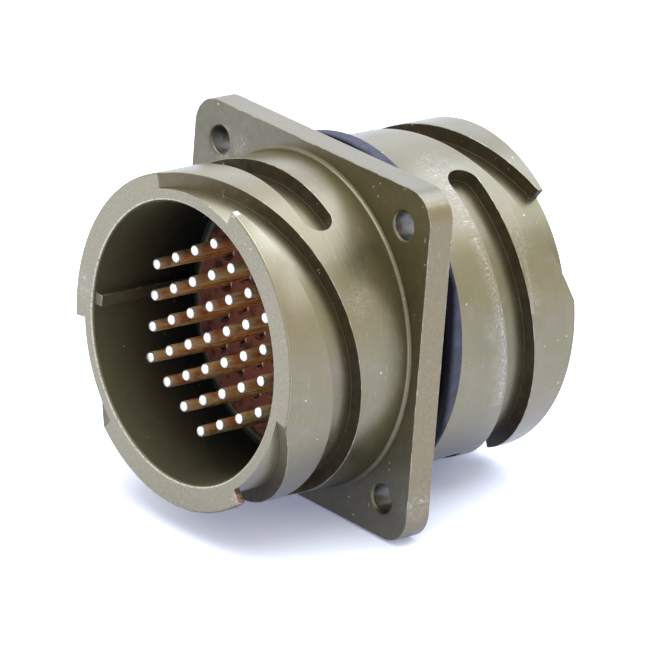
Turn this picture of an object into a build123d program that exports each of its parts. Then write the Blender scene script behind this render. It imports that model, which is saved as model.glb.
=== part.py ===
from build123d import *
import math
import os

# Bulkhead feed-through receptacle with bayonet grooves on both barrels, in millimetres.
# The axis is Y. The origin is on the axis, at the flange's rear face, which faces the panel.
# The front barrel points to -Y, the rear barrel to +Y, and Z is up.
# Angles round the axis start at +X and grow towards +Z.

# Flange
flange_width = 50.8
flange_thickness = 4.1
flange_corner_radius = 4.5
mounting_hole_spacing = 39.67
mounting_hole_diameter = 3.73
mounting_hole_chamfer = 0.5
root_flare = 0.6

# Barrels
barrel_diameter = 47.0
barrel_wall = 3.9
front_reach = 20.9
rear_reach = 26.0
rim_chamfer = 0.3
mouth_chamfer = 0.4

# Bayonet grooves: heights are distances from the rim, turns start at the groove's entry
groove_count = 3
groove_width = 4.9
groove_depth = 2.1
groove_rise = 14.5
groove_turn = 176.0
groove_entry_angle = 109.5
ridge_tip_turn = 41.0
groove_sections = 14

# Keys in the mouths of the barrels
key_width = 1.7
key_height = 1.3
key_setback = 0.6
key_length = 16.0
key_angle = 180.0

# Web inside the shell that carries the insulator
web_length = 5.0
web_step = 1.9
insert_key_width = 2.0
insert_key_height = 0.8
insert_key_angle = 90.0

# Insulator, seal and rings, stacked along the axis
insert_flange_length = 3.0
seal_thickness = 1.0
ring_thickness = 1.0
insert_land = 3.0
insert_nose = 2.0
insert_nose_inset = 1.2
insert_clearance = 0.2
ring_bite = 0.6
ring_width = 1.8
ring_gap = 3.0
ring_gap_angle = 0.0
ring_clearance = 0.05

# Contacts
contact_rings = 3
contact_pitch = 4.572
contact_diameter = 1.588
contact_clearance = 0.03
contact_tip_chamfer = 0.3
tip_recess = 4.4

# Panel gasket
gasket_thickness = 4.1
gasket_width = 1.4
gasket_clearance = 0.1
gasket_chamfer = 0.5

# Places that follow from the sizes above
barrel_radius = barrel_diameter / 2
bore_radius = barrel_radius - barrel_wall
web_radius = bore_radius - web_step
groove_floor = barrel_radius - groove_depth
front_rim = -flange_thickness - front_reach
rear_rim = rear_reach
insert_length = insert_flange_length + seal_thickness + web_length + ring_thickness + insert_land
insert_front = (front_rim + rear_rim - insert_length) / 2
insert_rear = insert_front + insert_length
web_front = insert_front + insert_flange_length + seal_thickness
web_rear = web_front + web_length
insert_flange_radius = bore_radius - insert_clearance
insert_body_radius = web_radius - insert_clearance
nose_front = insert_front - insert_nose
nose_radius = bore_radius + ring_bite - ring_width - insert_nose_inset
contact_radius = contact_diameter / 2


def turned(points):
    """Solid of revolution about Y from points given as radius and place along Y."""
    return revolve(make_face(Polyline(*points, close=True)), Axis.Y)


def ring(inner, outer, low, high):
    return turned([(inner, low), (outer, low), (outer, high), (inner, high)])


def around(shape, angle):
    """Turn a shape about Y so that what lies on +X comes to the given angle."""
    return Rot(0, -angle, 0) * shape


def block(inner, outer, low, high, width, angle):
    """Block that reaches from one radius to another over a stretch of the axis."""
    centre = Pos((inner + outer) / 2, (low + high) / 2, 0)
    return around(centre * Box(outer - inner, high - low, width), angle)


def at_front(shape):
    """Place on the front barrel what is modelled with its rim at y = 0 and its bore to +Y."""
    return Pos(0, front_rim, 0) * shape


def at_rear(shape):
    """Place the same on the rear barrel, which is the front one turned over about X."""
    return Pos(0, rear_rim, 0) * Rot(180, 0, 0) * shape


def groove_height(turn):
    """Height of the groove's inner wall, which rises fast at the entry and then eases off."""
    left = 1 - turn / groove_turn
    return groove_rise * (1 - left * left)


def groove_section(turn, inner, outer):
    angle = math.radians(groove_entry_angle - turn)
    outward = (math.cos(angle), 0, math.sin(angle))
    sideways = (-math.sin(angle), 0, math.cos(angle))
    plane = Plane(origin=(0, 0, 0), x_dir=outward, z_dir=sideways)
    centre = Pos((inner + outer) / 2, groove_height(turn) - groove_width / 2)
    return plane * centre * Rectangle(outer - inner, groove_width)


def groove():
    """Cutter for one bayonet groove: an open ramp, the ridge's blunt tip and a round end."""
    inner = groove_floor - 1
    outer = barrel_radius + 1
    end_turn = groove_turn - math.degrees(groove_width / 2 / barrel_radius)
    turns = [end_turn * step / (groove_sections - 1) for step in range(groove_sections)]
    ramp = loft([groove_section(turn, inner, outer) for turn in turns])

    end_centre = Pos((inner + outer) / 2, groove_height(end_turn) - groove_width / 2, 0)
    end_pocket = end_centre * Rot(0, 90, 0) * Cylinder(groove_width / 2, outer - inner)
    end_pocket = around(end_pocket, groove_entry_angle - end_turn)

    ridge_start = groove_turn * (1 - math.sqrt(1 - groove_width / groove_rise))
    tip_height = groove_height(ridge_tip_turn) - groove_width / 2
    tip_outline = Polyline((inner, -1), (outer, -1), (outer, tip_height), (inner, tip_height), close=True)
    tip = revolve(make_face(tip_outline), Axis.Y, ridge_tip_turn - ridge_start)
    tip = around(tip, groove_entry_angle - ridge_start)

    core = ring(0, groove_floor, -groove_width - 1, groove_rise + 1)
    return ramp + end_pocket + tip - core


def barrel_key():
    root = bore_radius + barrel_wall / 2
    far = key_setback + key_length
    return block(bore_radius - key_height, root, key_setback, far, key_width, key_angle)


def flange_plate():
    square = RectangleRounded(flange_width, flange_width, flange_corner_radius)
    plate = extrude(Plane.XZ * square, flange_thickness)
    return plate - ring(0, barrel_radius - barrel_wall / 2, -flange_thickness - 1, 1)


def mounting_hole(x, z):
    radius = mounting_hole_diameter / 2
    mouth = radius + mounting_hole_chamfer
    hole = turned(
        [
            (0, -flange_thickness - 1),
            (mouth + 1, -flange_thickness - 1),
            (radius, mounting_hole_chamfer - flange_thickness),
            (radius, 1),
            (0, 1),
        ]
    )
    return Pos(x, 0, z) * hole


def shell():
    slot_radius = bore_radius + ring_bite + ring_clearance
    slot_front = insert_front - ring_thickness - ring_clearance
    body = turned(
        [
            (bore_radius + mouth_chamfer, front_rim),
            (barrel_radius - rim_chamfer, front_rim),
            (barrel_radius, front_rim + rim_chamfer),
            (barrel_radius, rear_rim - rim_chamfer),
            (barrel_radius - rim_chamfer, rear_rim),
            (bore_radius + mouth_chamfer, rear_rim),
            (bore_radius, rear_rim - mouth_chamfer),
            (bore_radius, web_rear),
            (web_radius, web_rear),
            (web_radius, web_front),
            (bore_radius, web_front),
            (bore_radius, insert_front),
            (slot_radius, insert_front),
            (slot_radius, slot_front),
            (bore_radius, slot_front),
            (bore_radius, front_rim + mouth_chamfer),
        ]
    )
    flare = turned(
        [
            (barrel_radius - 1, -flange_thickness - root_flare),
            (barrel_radius, -flange_thickness - root_flare),
            (barrel_radius + root_flare, -flange_thickness),
            (barrel_radius - 1, -flange_thickness),
        ]
    )
    body = body + flange_plate() + flare
    half = mounting_hole_spacing / 2
    body -= [mounting_hole(x, z) for x in (-half, half) for z in (-half, half)]
    one = groove()
    copies = [around(one, 360 / groove_count * place) for place in range(groove_count)]
    body -= [at_front(copy) for copy in copies]
    body -= [at_rear(copy) for copy in copies]
    insert_key = block(
        web_radius - insert_key_height,
        web_radius + web_step / 2,
        web_front,
        web_rear,
        insert_key_width,
        insert_key_angle,
    )
    return body + at_front(barrel_key()) + at_rear(barrel_key()) + insert_key


def contact_places():
    """Centres of a full hexagon of contacts, with corners at the top and the bottom."""
    places = []
    for column in range(-contact_rings, contact_rings + 1):
        count = 2 * contact_rings + 1 - abs(column)
        x = column * contact_pitch * math.sqrt(3) / 2
        for row in range(count):
            places.append((x, (row - (count - 1) / 2) * contact_pitch))
    return places


def insulator():
    """Insert with a nose that stands out through the front ring, a flange and a long body."""
    slot_radius = insert_body_radius - ring_bite
    body = turned(
        [
            (0, nose_front),
            (nose_radius, nose_front),
            (nose_radius, insert_front),
            (insert_flange_radius, insert_front),
            (insert_flange_radius, insert_front + insert_flange_length),
            (insert_body_radius, insert_front + insert_flange_length),
            (insert_body_radius, web_rear),
            (slot_radius, web_rear),
            (slot_radius, web_rear + ring_thickness),
            (insert_body_radius, web_rear + ring_thickness),
            (insert_body_radius, insert_rear),
            (0, insert_rear),
        ]
    )
    hole = ring(0, contact_radius + contact_clearance, nose_front - 1, insert_rear + 1)
    body -= [Pos(x, 0, z) * hole for x, z in contact_places()]
    keyway = block(
        web_radius - insert_key_height - insert_clearance,
        insert_flange_radius + 1,
        insert_front + insert_flange_length,
        insert_rear + 1,
        insert_key_width + 2 * insert_clearance,
        insert_key_angle,
    )
    return body - keyway


def split_ring(inner, outer, low, high):
    gap = block(inner - 1, outer + 1, low - 1, high + 1, ring_gap, ring_gap_angle)
    return ring(inner, outer, low, high) - gap


def front_retaining_ring():
    outer = bore_radius + ring_bite
    return split_ring(outer - ring_width, outer, insert_front - ring_thickness, insert_front)


def rear_retaining_ring():
    inner = insert_body_radius - ring_bite + ring_clearance
    return split_ring(inner, inner + ring_width, web_rear, web_rear + ring_thickness)


def insert_seal():
    low = web_front - seal_thickness
    return ring(web_radius, insert_flange_radius, low, web_front)


def panel_gasket():
    inner = barrel_radius + gasket_clearance
    outer = inner + gasket_width
    return turned(
        [
            (inner, 0),
            (outer, 0),
            (outer, gasket_thickness - gasket_chamfer),
            (outer - gasket_chamfer, gasket_thickness),
            (inner, gasket_thickness),
        ]
    )


def contact():
    tip_front = front_rim + tip_recess
    tip_rear = rear_rim - tip_recess
    tip_radius = contact_radius - contact_tip_chamfer
    return turned(
        [
            (0, tip_front),
            (tip_radius, tip_front),
            (contact_radius, tip_front + contact_tip_chamfer),
            (contact_radius, tip_rear - contact_tip_chamfer),
            (tip_radius, tip_rear),
            (0, tip_rear),
        ]
    )


def main():
    os.makedirs("parts", exist_ok=True)
    export_step(shell(), "parts/shell.step")
    export_step(panel_gasket(), "parts/panel_gasket.step")
    export_step(insulator(), "parts/insulator.step")
    export_step(insert_seal(), "parts/insert_seal.step")
    export_step(front_retaining_ring(), "parts/front_retaining_ring.step")
    export_step(rear_retaining_ring(), "parts/rear_retaining_ring.step")
    pin = contact()
    for number, (x, z) in enumerate(contact_places(), 1):
        export_step(Pos(x, 0, z) * pin, f"parts/contact_{number:02d}.step")


main()
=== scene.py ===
# %% [markdown]
# A bulkhead feed-through connector, finished in Blender.
# The solids come from the CAD frame, already at their real size and place, in metres.
# Here they get rounded edges, their metals, rubber and resin, and a small white studio.

# %% Load the frame
import math

import bmesh
import bpy
from mathutils import Matrix, Vector


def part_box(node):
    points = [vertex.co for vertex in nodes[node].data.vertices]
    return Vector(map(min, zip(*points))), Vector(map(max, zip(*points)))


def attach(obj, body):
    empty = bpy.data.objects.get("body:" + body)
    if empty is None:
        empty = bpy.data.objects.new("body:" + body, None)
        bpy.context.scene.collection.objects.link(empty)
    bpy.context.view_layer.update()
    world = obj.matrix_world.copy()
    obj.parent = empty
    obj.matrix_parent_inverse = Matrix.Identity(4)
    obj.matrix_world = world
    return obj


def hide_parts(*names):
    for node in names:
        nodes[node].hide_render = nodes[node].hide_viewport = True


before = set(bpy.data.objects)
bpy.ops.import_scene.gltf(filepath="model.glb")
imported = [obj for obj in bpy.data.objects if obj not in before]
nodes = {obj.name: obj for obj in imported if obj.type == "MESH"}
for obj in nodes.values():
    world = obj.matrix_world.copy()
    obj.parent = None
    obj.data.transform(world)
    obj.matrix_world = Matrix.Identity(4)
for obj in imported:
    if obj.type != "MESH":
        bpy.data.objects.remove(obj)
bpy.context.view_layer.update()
MM = 0.001
print("nodes loaded:", len(nodes))

# %% [markdown]
# The camera stands in front of the connector, to its right and a little above it.
# A long lens from about a metre away gives the mild perspective of a product picture.
# Its three directions are written out, because the connector lies tipped back a little
# and the picture's upright is therefore not quite +Z.

# %% Camera
CAMERA_LENS = 395.13
CAMERA_SENSOR = 36.0
CAMERA_PLACE = Vector((0.69772, -0.60666, 0.34001))
CAMERA_RIGHT = Vector((0.63446, 0.76958, 0.07223))
CAMERA_UP = Vector((-0.31131, 0.16887, 0.93518))

camera_data = bpy.data.cameras.new("studio_camera")
camera_data.sensor_width = CAMERA_SENSOR
camera_data.lens = CAMERA_LENS
camera_data.clip_start = 0.01
camera = bpy.data.objects.new("studio_camera", camera_data)
camera_back = CAMERA_RIGHT.cross(CAMERA_UP).normalized()
camera_turn = Matrix((CAMERA_RIGHT, CAMERA_UP, camera_back)).transposed().to_4x4()
camera.matrix_world = Matrix.Translation(CAMERA_PLACE) @ camera_turn
bpy.context.scene.collection.objects.link(camera)
bpy.context.scene.camera = camera
bpy.context.scene.view_settings.view_transform = "Standard"
print("camera stands", round(CAMERA_PLACE.length, 3), "m away")

# %% [markdown]
# The connector rests on the lower rear edge of its flange and on the rear barrel.
# The tabletop is the plane through those two lines, so it slopes a little in this frame.
# It is tilted instead of the connector, because a CAD piece is never moved.

# %% Tabletop
FLANGE_BOTTOM = Vector((0, 0, -25.4)) * MM
BARREL_REST = Vector((0, 23.0, -23.5)) * MM
TABLE_REACH = 3.0

slope = (BARREL_REST - FLANGE_BOTTOM).normalized()
table_tilt = math.atan2(slope.z, slope.y)
table_mesh = bmesh.new()
bmesh.ops.create_grid(table_mesh, x_segments=1, y_segments=1, size=TABLE_REACH)
bmesh.ops.rotate(table_mesh, verts=table_mesh.verts, matrix=Matrix.Rotation(table_tilt, 3, "X"))
bmesh.ops.translate(table_mesh, verts=table_mesh.verts, vec=FLANGE_BOTTOM)
table_data = bpy.data.meshes.new("tabletop")
table_mesh.to_mesh(table_data)
table_mesh.free()
tabletop = bpy.data.objects.new("tabletop", table_data)
bpy.context.scene.collection.objects.link(tabletop)
print("the tabletop slopes by", round(math.degrees(table_tilt), 2), "degrees")

# %% [markdown]
# Every material below is a tree of shader nodes. A few short helpers add a node, feed a
# number or another node's result into a socket, and do sums with masks, so that each
# tree can be read from top to bottom.

# %% Helpers: nodes and sums
def add_node(tree, kind, **settings):
    made = tree.nodes.new(kind)
    for name, value in settings.items():
        setattr(made, name, value)
    return made


def feed(tree, socket, value):
    if isinstance(value, bpy.types.NodeSocket):
        tree.links.new(value, socket)
    else:
        socket.default_value = value


def math_node(tree, operation, first, second=None, third=None, clamp=False):
    made = add_node(tree, "ShaderNodeMath", operation=operation, use_clamp=clamp)
    for number, value in enumerate((first, second, third)):
        if value is not None:
            feed(tree, made.inputs[number], value)
    return made.outputs[0]


def times(tree, first, *others):
    product = first
    for other in others:
        product = math_node(tree, "MULTIPLY", product, other)
    return product


def opposite(tree, value):
    return math_node(tree, "SUBTRACT", 1.0, value)


def between(tree, value, low, high):
    above = math_node(tree, "GREATER_THAN", value, low)
    return times(tree, above, math_node(tree, "LESS_THAN", value, high))


def distance(tree, first, second):
    squares = [math_node(tree, "POWER", part, 2.0) for part in (first, second)]
    return math_node(tree, "SQRT", math_node(tree, "ADD", *squares))


print("helpers for nodes and sums are ready")

# %% [markdown]
# Colours are written as a picture editor shows them, from 0 to 255, and turned into the
# linear values that Blender reckons with. A smooth step turns any value into a soft mask
# from 0 to 1, and a mix lays one colour over another where such a mask is bright.

# %% Helpers: steps and colours
def stepped(tree, value, low, high):
    made = add_node(tree, "ShaderNodeMapRange", interpolation_type="SMOOTHSTEP", clamp=True)
    for number, part in enumerate((value, low, high)):
        feed(tree, made.inputs[number], part)
    return made.outputs[0]


def srgb(red, green, blue):
    def linear(part):
        part = part / 255.0
        return part / 12.92 if part <= 0.04045 else ((part + 0.055) / 1.055) ** 2.4

    return (linear(red), linear(green), linear(blue))


def mix_colour(tree, amount, first, second):
    made = add_node(tree, "ShaderNodeMix", data_type="RGBA", clamp_factor=True)
    feed(tree, made.inputs[0], amount)
    for number, value in ((6, first), (7, second)):
        feed(tree, made.inputs[number], (*value, 1.0) if isinstance(value, tuple) else value)
    return made.outputs[2]


print("a mid olive in linear values:", [round(part, 3) for part in srgb(150, 143, 115)])

# %% [markdown]
# A finish follows the piece: where a point lies on it, which way the surface faces there,
# and which faces were marked as bevels. All textures use the piece's own place, so the
# pattern is at its real size and needs no unwrapping.

# %% Helpers: places, marks and noise
NO_TURN = (0.0, 0.0, 0.0)


def object_place(tree):
    return add_node(tree, "ShaderNodeTexCoord").outputs["Object"]


def split(tree, vector):
    made = add_node(tree, "ShaderNodeSeparateXYZ")
    tree.links.new(vector, made.inputs[0])
    return tuple(made.outputs)


def facing(tree):
    return split(tree, add_node(tree, "ShaderNodeNewGeometry").outputs["Normal"])


def face_mark(tree, name):
    return add_node(tree, "ShaderNodeAttribute", attribute_name=name).outputs["Fac"]


def remapped(tree, place, turn, squeeze):
    made = add_node(tree, "ShaderNodeMapping")
    tree.links.new(place, made.inputs["Vector"])
    made.inputs["Rotation"].default_value = turn
    made.inputs["Scale"].default_value = squeeze
    return made.outputs[0]


def add_noise(tree, place, scale, detail, shift=None):
    made = add_node(tree, "ShaderNodeTexNoise", noise_dimensions="3D" if shift is None else "4D")
    tree.links.new(place, made.inputs["Vector"])
    feed(tree, made.inputs["Scale"], scale)
    feed(tree, made.inputs["Detail"], detail)
    if shift is not None:
        feed(tree, made.inputs["W"], shift)
    return made.outputs[0]


print("helpers for places, marks and noise are ready")

# %% [markdown]
# The studio is a white tent: soft light from everywhere, a little more from above.
# What the camera and the polished metal see of the tent is plain white, and what lights
# the object is dimmer and a little bluer, which tints the shadow. A light path node tells
# the two apart.

# %% White tent
PLAIN_WHITE = (1.0, 1.0, 1.0, 1.0)
TENT_SHOWS = 1.0
TENT_LIGHT_COLOUR = (0.92, 0.95, 1.0, 1.0)
TENT_LIGHT = 0.52

world = bpy.data.worlds.new("white_tent")
world.use_nodes = True
bpy.context.scene.world = world
tent = world.node_tree
tent.nodes.clear()
tent_path = add_node(tent, "ShaderNodeLightPath").outputs
tent_seen = math_node(tent, "MAXIMUM", tent_path["Is Camera Ray"], tent_path["Is Glossy Ray"])
tent_seen = math_node(tent, "MAXIMUM", tent_seen, tent_path["Is Transmission Ray"])
tent_mix = add_node(tent, "ShaderNodeMixShader")
tent.links.new(tent_seen, tent_mix.inputs[0])
tent_sides = ((1, TENT_LIGHT_COLOUR, TENT_LIGHT), (2, PLAIN_WHITE, TENT_SHOWS))
for number, tint, strength in tent_sides:
    tent_side = add_node(tent, "ShaderNodeBackground")
    tent_side.inputs["Color"].default_value = tint
    tent_side.inputs["Strength"].default_value = strength
    tent.links.new(tent_side.outputs[0], tent_mix.inputs[number])
tent_out = add_node(tent, "ShaderNodeOutputWorld")
tent.links.new(tent_mix.outputs[0], tent_out.inputs["Surface"])
print("the tent shows as", TENT_SHOWS, "and lights with", TENT_LIGHT)

# %% [markdown]
# Three very wide lamps stand for the brighter parts of the tent. They are suns, because a
# sun lights the table evenly to its far end, where a lamp close by would fall off. The
# width of each is what makes the shadow's edge so soft.

# %% Lamps of the tent
# name, direction that the light comes from, strength, width in degrees, colour
TENT_LAMPS = [
    ("tent_top", (0.05, -0.12, 1.0), 1.45, 60, (0.79, 0.86, 1.0)),
    ("tent_back", (0.09, 0.62, 0.78), 0.72, 46, (0.63, 0.73, 1.0)),
    ("tent_far_corner", (-0.47, 0.67, 0.57), 0.24, 46, (0.56, 0.68, 1.0)),
]
for name, comes_from, strength, width, tint in TENT_LAMPS:
    lamp_data = bpy.data.lights.new(name, "SUN")
    lamp_data.energy = strength
    lamp_data.color = tint
    lamp_data.angle = math.radians(width)
    lamp = bpy.data.objects.new(name, lamp_data)
    lamp.rotation_euler = Vector(comes_from).to_track_quat("Z", "Y").to_euler()
    bpy.context.scene.collection.objects.link(lamp)
print("the tent has", len(TENT_LAMPS), "lamps")

# %% [markdown]
# The tabletop is white paper. A product picture is exposed so that such paper turns plain
# white wherever the light reaches it and only the deep shadow under the object stays.
# So the camera sees the paper about twice as bright as it lights the connector, with a
# faint bluish glow in the shadow, and the metal mirrors it with a glow of its own.

# %% White tabletop
PAPER_WHITE = 0.95
PAPER_SEEN_MORE = 1.0
PAPER_GLOW_SEEN = 0.21
PAPER_GLOW_MIRRORED = 0.28
PAPER_GLOW_COLOUR = (0.48, 0.56, 1.0, 1.0)

paper = bpy.data.materials.new("white_tabletop")
paper.use_nodes = True
tree = paper.node_tree
tree.nodes.clear()
paper_path = add_node(tree, "ShaderNodeLightPath").outputs
paper_seen = paper_path["Is Camera Ray"]
paper_mirrored = math_node(
    tree, "MAXIMUM", paper_path["Is Glossy Ray"], paper_path["Is Transmission Ray"]
)
paper_lit = add_node(tree, "ShaderNodeBsdfDiffuse")
paper_bright = math_node(tree, "MULTIPLY_ADD", paper_seen, PAPER_SEEN_MORE, PAPER_WHITE)
tree.links.new(paper_bright, paper_lit.inputs["Color"])
paper_glow = add_node(tree, "ShaderNodeEmission")
paper_glow.inputs["Color"].default_value = PAPER_GLOW_COLOUR
glow_level = math_node(tree, "MULTIPLY", paper_seen, PAPER_GLOW_SEEN)
glow_level = math_node(tree, "MULTIPLY_ADD", paper_mirrored, PAPER_GLOW_MIRRORED, glow_level)
tree.links.new(glow_level, paper_glow.inputs["Strength"])
paper_both = add_node(tree, "ShaderNodeAddShader")
tree.links.new(paper_lit.outputs[0], paper_both.inputs[0])
tree.links.new(paper_glow.outputs[0], paper_both.inputs[1])
paper_out = add_node(tree, "ShaderNodeOutputMaterial")
tree.links.new(paper_both.outputs[0], paper_out.inputs["Surface"])
tabletop.data.materials.append(paper)
print("tabletop material:", paper.name)

# %% [markdown]
# Worn plating, dust and turning marks show on more than one piece.
# Each is a node group with its own inputs, built once and placed in every material that
# needs it. The groups put out masks and values only, and the shaders stay outside.

# %% Helpers for node groups
MM_PER_METRE = 1000.0


def start_group(name, inputs, outputs):
    group = bpy.data.node_groups.new(name, "ShaderNodeTree")
    for socket_name, value in inputs:
        socket = group.interface.new_socket(
            name=socket_name, in_out="INPUT", socket_type="NodeSocketFloat"
        )
        socket.default_value = value
    for socket_name in outputs:
        group.interface.new_socket(
            name=socket_name, in_out="OUTPUT", socket_type="NodeSocketFloat"
        )
    start = group.nodes.new("NodeGroupInput")
    end = group.nodes.new("NodeGroupOutput")
    return group, start.outputs, end.inputs, object_place(group)


def use_group(tree, group, **values):
    made = add_node(tree, "ShaderNodeGroup", node_tree=group)
    for name, value in values.items():
        made.inputs[name.replace("_", " ")].default_value = value
    return made.outputs


def scale_for(group, size):
    return math_node(group, "DIVIDE", MM_PER_METRE, size)


print("a pattern of 2 mm has the scale", MM_PER_METRE / 2)

# %% [markdown]
# No real surface has one even tone. Soft clouds of a chosen size vary the colour and the
# gloss, and the shift picks another part of the same endless pattern, so that two uses
# of the group don't look alike.

# %% Cloudy patches
clouds, clouds_in, clouds_out, place = start_group(
    "cloudy_patches", [("Patch mm", 8.0), ("Shift", 0.0)], ["Value"]
)
clouds_scale = scale_for(clouds, clouds_in["Patch mm"])
clouds_noise = add_noise(clouds, place, clouds_scale, 4.0, clouds_in["Shift"])
clouds.links.new(clouds_noise, clouds_out["Value"])


def cloud(tree, size, shift):
    return use_group(tree, clouds, Patch_mm=size, Shift=shift)["Value"]


print("group:", clouds.name)

# %% [markdown]
# A lathe tool leaves fine rings. Noise that is squeezed across the axis and left as it is
# along it gives lines that run round the axis, as on turned metal.

# %% Turning marks
ACROSS_AXIS = 0.035

marks, marks_in, marks_out, place = start_group("turning_marks", [("Pitch mm", 0.35)], ["Value"])
marks_place = remapped(marks, place, NO_TURN, (ACROSS_AXIS, 1.0, ACROSS_AXIS))
marks_scale = scale_for(marks, marks_in["Pitch mm"])
marks.links.new(add_noise(marks, marks_place, marks_scale, 3.0), marks_out["Value"])
print("group:", marks.name)

# %% [markdown]
# Dust and tiny chips are single dots of different sizes. A Voronoi texture divides the
# space into cells: some cells are kept by chance, and each kept one gets a dot.

# %% Specks
SMALLEST_SPECK = 0.02

specks, specks_in, specks_out, place = start_group(
    "specks", [("Spacing mm", 1.0), ("Radius", 0.1), ("Share", 0.5)], ["Mask"]
)
specks_cells = add_node(specks, "ShaderNodeTexVoronoi")
specks.links.new(place, specks_cells.inputs["Vector"])
specks.links.new(scale_for(specks, specks_in["Spacing mm"]), specks_cells.inputs["Scale"])
specks_parts = add_node(specks, "ShaderNodeSeparateColor")
specks.links.new(specks_cells.outputs["Color"], specks_parts.inputs[0])
specks_kept = math_node(specks, "LESS_THAN", specks_parts.outputs[0], specks_in["Share"])
specks_reach = math_node(specks, "MULTIPLY", specks_in["Radius"], specks_parts.outputs[1])
specks_reach = math_node(specks, "ADD", specks_reach, SMALLEST_SPECK)
specks_near = math_node(specks, "LESS_THAN", specks_cells.outputs["Distance"], specks_reach)
specks.links.new(times(specks, specks_kept, specks_near), specks_out["Mask"])
print("group:", specks.name)

# %% [markdown]
# Light scratches from handling are thin, long and a little askew. Noise stretched a lot
# in one direction has such ridges, and only its highest crests are kept.

# %% Fine scratches
scratches, scratches_in, scratches_out, place = start_group(
    "fine_scratches", [("Width mm", 0.1), ("Amount", 0.3)], ["Mask"]
)
scratches_place = remapped(scratches, place, (0.20, 0.0, 0.12), (0.10, 1.0, 0.06))
scratches_scale = scale_for(scratches, scratches_in["Width mm"])
scratches_noise = add_noise(scratches, scratches_place, scratches_scale, 2.0)
scratches_limit = math_node(scratches, "SUBTRACT", 0.90, scratches_in["Amount"])
scratches_mask = math_node(scratches, "GREATER_THAN", scratches_noise, scratches_limit)
scratches.links.new(scratches_mask, scratches_out["Mask"])
print("group:", scratches.name)

# %% [markdown]
# Plating goes first at the edges, and never evenly. The bevel's faces carry a mark, and
# small clouds decide how far the wear has come along each edge.

# %% Worn edges
wear, wear_in, wear_out, place = start_group(
    "worn_edges", [("Amount", 0.5), ("Patch mm", 1.2)], ["Mask"]
)
wear_noise = add_noise(wear, place, scale_for(wear, wear_in["Patch mm"]), 3.0)
wear_level = math_node(wear, "SUBTRACT", wear_noise, opposite(wear, wear_in["Amount"]))
wear_level = math_node(wear, "MULTIPLY", wear_level, 8.0, clamp=True)
wear.links.new(times(wear, wear_level, face_mark(wear, "edge")), wear_out["Mask"])
print("group:", wear.name)

# %% [markdown]
# In places the connector looks knocked: round patches of short crossed scratches over a
# soft haze. The group reads a patch's centre and reach in millimetres, so that a patch can
# be set anywhere on the piece. First comes the nearness to the centre.

# %% Scratched patches: where
patch, patch_in, patch_out, place = start_group(
    "scratched_patch",
    [("X mm", 0.0), ("Y mm", 0.0), ("Z mm", 0.0), ("Reach mm", 3.0), ("Amount", 0.3)],
    ["Mask", "Haze"],
)
patch_centre = add_node(patch, "ShaderNodeCombineXYZ")
for number, axis in enumerate("XYZ"):
    patch.links.new(times(patch, patch_in[f"{axis} mm"], MM), patch_centre.inputs[number])
patch_away = add_node(patch, "ShaderNodeVectorMath", operation="DISTANCE")
patch.links.new(place, patch_away.inputs[0])
patch.links.new(patch_centre.outputs[0], patch_away.inputs[1])
patch_reach = times(patch, patch_in["Reach mm"], MM)
patch_near = math_node(patch, "DIVIDE", patch_away.outputs["Value"], patch_reach)
patch_near = math_node(patch, "SUBTRACT", 1.0, patch_near, clamp=True)
patch_near = math_node(patch, "MULTIPLY", patch_near, 1.7, clamp=True)
print("group:", patch.name, "with", len(patch_in) - 1, "inputs")

# %% [markdown]
# Then come the scratches. Two stretched noises lie across each other, and their crests
# are the scratches. Near the patch's centre the limit for a crest is lower, so more of
# them show. The haze is the same noise with a much softer limit.

# %% Scratched patches: scratches and haze
SCRATCH_SCALE = 6800.0
SCRATCH_LAYS = (((0.5, 0.3, 0.7), (1.0, 0.10, 0.20)), ((-0.6, 0.9, 0.1), (0.14, 1.0, 0.25)))

patch_levels = [
    add_noise(patch, remapped(patch, place, turn, squeeze), SCRATCH_SCALE, 1.0)
    for turn, squeeze in SCRATCH_LAYS
]
patch_level = math_node(patch, "MAXIMUM", *patch_levels)
patch_limit = math_node(patch, "SUBTRACT", 0.93, times(patch, patch_near, patch_in["Amount"]))
patch_mask = math_node(patch, "SUBTRACT", patch_level, patch_limit)
patch_mask = math_node(patch, "MULTIPLY", patch_mask, 14.0, clamp=True)
patch_inside = math_node(patch, "GREATER_THAN", patch_near, 0.0)
patch.links.new(times(patch, patch_mask, patch_inside), patch_out["Mask"])
patch_haze = times(patch, stepped(patch, patch_level, 0.42, 0.68), patch_near)
patch.links.new(patch_haze, patch_out["Haze"])
print("scratches lie", len(patch_levels), "ways")

# %% [markdown]
# Dotted pale lines run round the rear barrel, as if something had rubbed there while it
# turned. Such a line is a band along the axis, broken up by noise, between two heights and
# on the right-hand side. It may lean: its place along the axis then changes with height.

# %% Rubbed band
band, band_in, band_out, place = start_group(
    "rubbed_band",
    [("Y mm", 0.0), ("Rise", 0.0), ("Wide mm", 0.5)]
    + [("Low Z mm", -5.0), ("High Z mm", 5.0), ("Amount", 0.4)],
    ["Mask", "Haze"],
)
band_x, band_y, band_z = split(band, place)
band_height = math_node(band, "DIVIDE", band_z, MM)
band_middle = math_node(band, "MULTIPLY_ADD", band_height, band_in["Rise"], band_in["Y mm"])
band_away = math_node(band, "SUBTRACT", math_node(band, "DIVIDE", band_y, MM), band_middle)
band_away = math_node(band, "DIVIDE", math_node(band, "ABSOLUTE", band_away), band_in["Wide mm"])
band_near = math_node(band, "SUBTRACT", 1.0, band_away, clamp=True)
band_zone = between(band, band_height, band_in["Low Z mm"], band_in["High Z mm"])
band_zone = times(band, band_zone, math_node(band, "GREATER_THAN", band_x, 0.0))
band_noise = add_noise(band, remapped(band, place, NO_TURN, (0.45, 1.0, 0.45)), 5200.0, 2.0)
band_limit = math_node(band, "SUBTRACT", 0.95, times(band, band_near, band_in["Amount"]))
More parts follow.
